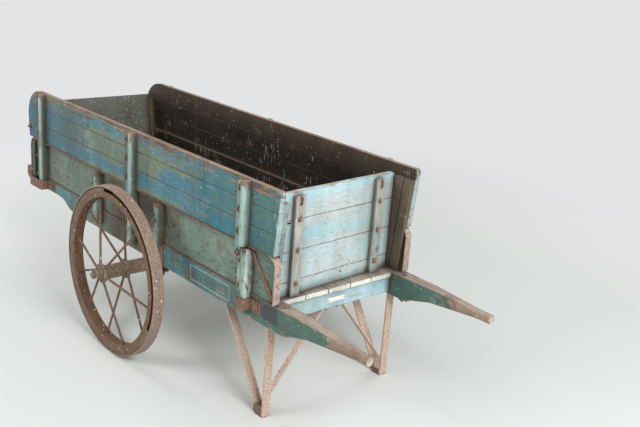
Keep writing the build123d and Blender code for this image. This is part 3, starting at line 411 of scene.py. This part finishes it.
# Shoes, caps and stays: redder rust, brighter on the corners, partly rubbed and partly a painted highlight.
shoe_iron = rusted_iron("rusted_shoe_iron", "#8a6753", "#5c4234", left="#7d8a84", cover=0.35)
# Legs: old pink-grey primer turned to pale dust, finely speckled with rust.
leg_iron = rusted_iron("dusty_leg_iron", "#c0a694", "#9c7f6b", left="#d4c2b2", cover=0.8, edge="#d6c8bb",
                        blotch=4 * MM, scab=6 * MM)
# Feet: dried mud over rust.
foot_iron = rusted_iron("muddy_foot_iron", "#7d6353", "#5a453a", left="#8f7c6e", cover=0.4)
# Bands on the boards' ends: mostly painted, with rust coming through.
band_iron = rusted_iron("painted_band_iron", "#a48f82", "#86705f", left="#b3a49b", cover=0.9,
                        edge="#cbbdb4")
# Rims and spokes: brown rust with splashes of limewash, and orange edges that are partly worn and partly a
# painted highlight.
wheel_iron = rusted_iron("rusted_wheel_iron", "#825c40", "#4f382a", left="#6d5f4b", cover=0.7, specks=1.8,
                         edge="#b58a62", scab=16 * MM, speck=8 * MM)
# Hubs and axle: old grease gone ochre.
hub_iron = rusted_iron("greased_hub_iron", "#86725a", "#54443a", left="#8b7d68", cover=0.6, specks=0.6)
# Tyres: scuffed by the road to a pale, finely pitted skin.
tyre_iron = rusted_iron("scuffed_tyre_iron", "#8c7261", "#695245", left="#a09285", cover=0.8, specks=1.0,
                        blotch=4 * MM, scab=6 * MM, speck=8 * MM)
# Nails are nearly black, and nuts are red rust with paint left in their corners.
old_nail_iron = rusted_iron("dark_nail_iron", "#5f493c", "#3c2e27")
nut_iron = rusted_iron("painted_rusty_nuts", "#8d6655", "#664b3f", left="#95a39d", cover=0.4)


def both(*parts):
    """The names of parts that the left and the right side have alike."""
    return [side + part for side in ("left_", "right_") for part in parts]


finishes = {
    upper_paint: both("upper_boards"),
    lower_paint: both("lower_board"),
    upper_stake_paint: both("upper_stakes"),
    lower_stake_paint: both("lower_stakes"),
    board_paint: ["front_board_planks"],
    rail_paint: ["front_rail"],
    batten_paint: ["front_board_battens"],
    tail_paint: ["tail_board_planks", "tail_board_battens"],
    beam_paint: both("beam"),
    deck_wood: ["deck_planks"],
    packing_wood: both("packing"),
    inner_wood: ["mid_rails", "tail_rail", "right_cleats"],
    near_cleat_paint: ["left_cleats"],
    axle_wood: ["axle_cheeks"],
    wheel_iron: both("rim", "spokes"),
    hub_iron: both("hub") + ["axle", "axle_nuts", "split_pins"],
    tyre_iron: both("tyre"),
    leg_iron: both("leg_front_bar", "leg_rear_bar", "leg_brace"),
    band_iron: both("end_bands"),
    nut_iron: ["stake_nuts", "front_board_nuts", "front_board_hooks", "tail_board_nuts", "leg_bolts"],
    strip_iron: both("edge_strips"),
    foot_iron: both("foot"),
    shoe_iron: both("shoes", "end_cap") + ["beam_straps", "front_stays", "axle_clip_plates",
                                           "axle_clip_bolts"],
}
for material, names in finishes.items():
    for name in names:
        mesh = nodes[name].data
        mesh.materials.clear()
        mesh.materials.append(material)


# ---- Plate, patches and nail heads ----
def plain_finish(name, colour, scuffed, roughness):
    """A smooth coat with small scuffs."""
    finish = Finish(name)
    scuffs = finish.patches(9 * MM, 0.58, 0.7, detail=6)
    shade = finish.lay(linear(colour), (scuffed, scuffs, 0.7))
    worn = finish.add("MapRange", scuffs, 0.0, 1.0, roughness, roughness + 0.2)
    return finish.finish(shade, worn, scuffs, 0.1 * MM)


def trim(name, shape, material, body="cart"):
    """A piece made from a bmesh, which moves with a body."""
    mesh = bpy.data.meshes.new(name)
    shape.to_mesh(mesh)
    shape.free()
    mesh.materials.append(material)
    piece = bpy.data.objects.new(name, mesh)
    bpy.context.collection.objects.link(piece)
    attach(piece, body)
    return piece


def slabs(name, boxes, material, edge, body="cart"):
    """Thin blocks between pairs of corners, with their edges eased."""
    shape = bmesh.new()
    for low, high in boxes:
        size = [h - l for l, h in zip(low, high)]
        middle = Matrix.Translation([(l + h) / 2 for l, h in zip(low, high)])
        bmesh.ops.create_cube(shape, size=1.0, matrix=middle @ Matrix.Diagonal((*size, 1.0)))
    bmesh.ops.bevel(shape, geom=shape.edges[:], offset=edge, segments=2, affect="EDGES")
    return trim(name, shape, material, body)


def nail_heads(name, places, radius, material, body="cart"):
    """Low domes. Each place is a point and the way that the head faces."""
    shape = bmesh.new()
    for point, facing in places:
        turn = Vector(facing).to_track_quat("Z", "Y").to_matrix().to_4x4()
        dome = Matrix.Translation(point) @ turn @ Matrix.Diagonal((1, 1, 0.45, 1))
        bmesh.ops.create_uvsphere(shape, u_segments=12, v_segments=8, radius=radius, matrix=dome)
    for face in shape.faces:
        face.smooth = True
    return trim(name, shape, material, body)


# A small plate on the front rail, left without words. White enamel is smooth and a little glossy,
# with grey scuffs.
rail_face = front_rail[1][0]
plate_y = (-58 * MM, 46 * MM)
plate_z = (beam_top - 70 * MM, beam_top - 49 * MM)
plate_face = rail_face + 1.5 * MM
screw_inset = 7 * MM
slabs("blank_plate", [((rail_face, plate_y[0], plate_z[0]), (plate_face, plate_y[1], plate_z[1]))],
      plain_finish("white_enamel", "#d9dad7", "#9b9b94", 0.3), 0.4 * MM)
nail_heads("plate_screws", [((plate_face, y, sum(plate_z) / 2), (1, 0, 0))
                            for y in (plate_y[0] + screw_inset, plate_y[1] - screw_inset)],
           3.2 * MM, nut_iron)

# A painted-out panel and an empty painted frame on the side of the beam: sign paint, faded and flat,
# and white lining paint that is nearly worn away.
patch_x = (axle_x + 872 * MM, axle_x + 968 * MM)
patch_z = (beam_top - 74 * MM, beam_top - 8 * MM)
slabs("bare_dark_patch", [((patch_x[0], beam_face - 0.3 * MM, patch_z[0]),
                           (patch_x[1], beam_face + 0.3 * MM, patch_z[1]))],
      plain_finish("faded_black_paint", "#3b3f41", "#6e7672", 0.6), 0.1 * MM)
line = 3.5 * MM
line_x = (axle_x + 345 * MM, axle_x + 640 * MM)
line_z = (beam_top - 88 * MM, beam_top - 22 * MM)
strokes = [(line_x[0], z, line_x[1], z + line) for z in line_z]
strokes += [(x, line_z[0], x + line, line_z[1]) for x in line_x]
slabs("painted_frame", [((x0, beam_face - 0.2 * MM, z0), (x1, beam_face + 0.2 * MM, z1))
                        for x0, z0, x1, z1 in strokes],
      plain_finish("worn_white_lines", "#a9b8b5", "#587b80", 0.7), 0.05 * MM)

# A worn slot by the front board's edge, drawn as a sheet of painted shade in short steps that follow its
# face, and a small hole low down, drawn as a dark dome of painted shade.
planks_low, planks_high = front_planks
plank_thickness = 22 * MM
skew = (planks_high[0] - planks_low[0] - plank_thickness) / (planks_high[1] - planks_low[1])


def board_face(y):
    """The front board stands a little askew, so its face is further forward at one end."""
    return planks_high[0] - skew * (y - planks_low[1])


slot_z = beam_top + 318 * MM
slot_half_height = 4 * MM
slot_step = 7 * MM
slot_ys = [-299 * MM + count * slot_step for count in range(4)]
slabs("slot_shade_sheet", [((board_face(y) - 2 * MM, y, slot_z - slot_half_height),
                     (board_face(y) + 0.3 * MM, y + slot_step, slot_z + slot_half_height))
                    for y in slot_ys],
      plain_finish("slot_shade_paint", "#1d1a17", "#2b2622", 0.9), 0.1 * MM, "front_board")
hole_place = (board_face(44 * MM), 44 * MM, beam_top + 42 * MM)
nail_heads("hole_shade_dome", [(hole_place, (1, 0, 0))], 5 * MM, old_nail_iron, "front_board")

# Three nails up each upright end of the iron bands.
band_middle = 371 * MM      # from the middle of the cart
band_nails = []
for name, outward in (("left_end_bands", -1), ("right_end_bands", 1)):
    low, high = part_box(name)
    for height in (30 * MM, 82 * MM, 128 * MM):
        for end, facing in ((high, 1), (low, -1)):
            band_nails.append(((end[0], outward * band_middle, low[2] + height), (facing, 0, 0)))
nail_heads("band_nails", band_nails, 3.8 * MM, nut_iron)

# Clout nails that hold the boards, two to a board beside each stake and between, a little out of line.
# For each piece: its number of boards, and the columns of nails in millimetres from the axle.
nail_columns = {"upper_boards": (3, (-1188, -1063, -640, -228, -102, 300, 672, 786)),
                "lower_board": (1, (-1060, -760, -570, -441, 5, 134, 410, 688, 805))}
hand = random.Random(4)
board_nails = []
for side, outward in (("left_", -1), ("right_", 1)):
    for board, (rows, columns) in nail_columns.items():
        low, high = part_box(side + board)
        face = low[1] if outward < 0 else high[1]
        row_height = (high[2] - low[2]) / rows
        for row in range(rows):
            for column in columns:
                for share in (0.25, 0.75):
                    x = axle_x + (column + hand.uniform(-7, 7)) * MM
                    z = low[2] + (row + share) * row_height + hand.uniform(-7, 7) * MM
                    board_nails.append(((x, face, z), (0, outward, 0)))
nail_heads("board_nails", board_nails, 4.2 * MM, old_nail_iron)

# ---- Floor, light and camera ----
camera_place = (3.462, -2.515, 1.999)
camera_azimuth = 47.78
camera_elevation = 17.64
camera_roll = 4.45
camera_lens = 51.36         # millimetres, as the sensor's width
camera_sensor = 36.0

floor_size = 60
floor_fade = (2.0, 4.8)     # from the middle, where the floor turns into the backdrop
bpy.ops.mesh.primitive_plane_add(size=floor_size, location=(0, 0, -0.5 * MM))
floor = bpy.context.object
floor.name = "floor"
concrete = Finish("pale_floor")
middle = concrete.add("VectorMath", concrete.place, operation="LENGTH", output="Value")
far = concrete.add("MapRange", middle, *floor_fade, **EASED)
concrete.shader.inputs["Base Color"].default_value = linear("#d0d3d0")
concrete.shader.inputs["Roughness"].default_value = 0.85
fade = concrete.add("MixShader", far, concrete.shader.outputs[0], concrete.add("BsdfTransparent"))
concrete.tree.links.new(fade, concrete.tree.nodes["Material Output"].inputs["Surface"])
floor.data.materials.append(concrete.material)

world = bpy.data.worlds.new("studio")
bpy.context.scene.world = world
world.use_nodes = True
sky = Nodes(world.node_tree)
seen = sky.add("LightPath", output="Is Camera Ray")
for ray in ("Is Glossy Ray", "Is Transmission Ray"):
    seen = sky.add("Math", seen, sky.add("LightPath", output=ray), **LARGER)
light = sky.add("Background", linear("#f2f3f4"), 0.36)
backdrop = sky.add("Background", linear("#e3e4e6"), 1.0)
around = sky.add("MixShader", seen, light, backdrop)
sky.tree.links.new(around, sky.tree.nodes["World Output"].inputs["Surface"])


def softbox(name, place, target, size, power):
    """A rectangular lamp in metres and watts, turned to its target."""
    lamp = bpy.data.lights.new(name, "AREA")
    lamp.shape = "RECTANGLE"
    lamp.size, lamp.size_y = size
    lamp.energy = power
    holder = bpy.data.objects.new(name, lamp)
    bpy.context.collection.objects.link(holder)
    turn = (Vector(target) - Vector(place)).to_track_quat("-Z", "Y").to_matrix().to_4x4()
    holder.matrix_world = Matrix.Translation(place) @ turn


softbox("handle_end_softbox", (4.8, -0.9, 3.3), (0.3, 0, 0.6), (2.2, 2.0), 270)
softbox("wheel_side_softbox", (-0.6, -5.0, 3.2), (-0.2, 0, 0.6), (2.4, 1.6), 135)
softbox("tail_softbox", (-4.8, -0.8, 3.0), (-0.3, 0, 0.6), (2.6, 2.0), 130)
softbox("far_side_softbox", (0.2, 5.0, 3.2), (0, 0, 0.6), (2.6, 2.0), 90)

camera_data = bpy.data.cameras.new("camera")
camera_data.lens = camera_lens
camera_data.sensor_width = camera_sensor
camera = bpy.data.objects.new("camera", camera_data)
bpy.context.collection.objects.link(camera)
camera.matrix_world = (Matrix.Translation(camera_place)
                       @ Matrix.Rotation(math.radians(camera_azimuth), 4, "Z")
                       @ Matrix.Rotation(math.radians(90 - camera_elevation), 4, "X")
                       @ Matrix.Rotation(math.radians(camera_roll), 4, "Z"))
bpy.context.scene.camera = camera
bpy.context.scene.view_settings.view_transform = "Standard"
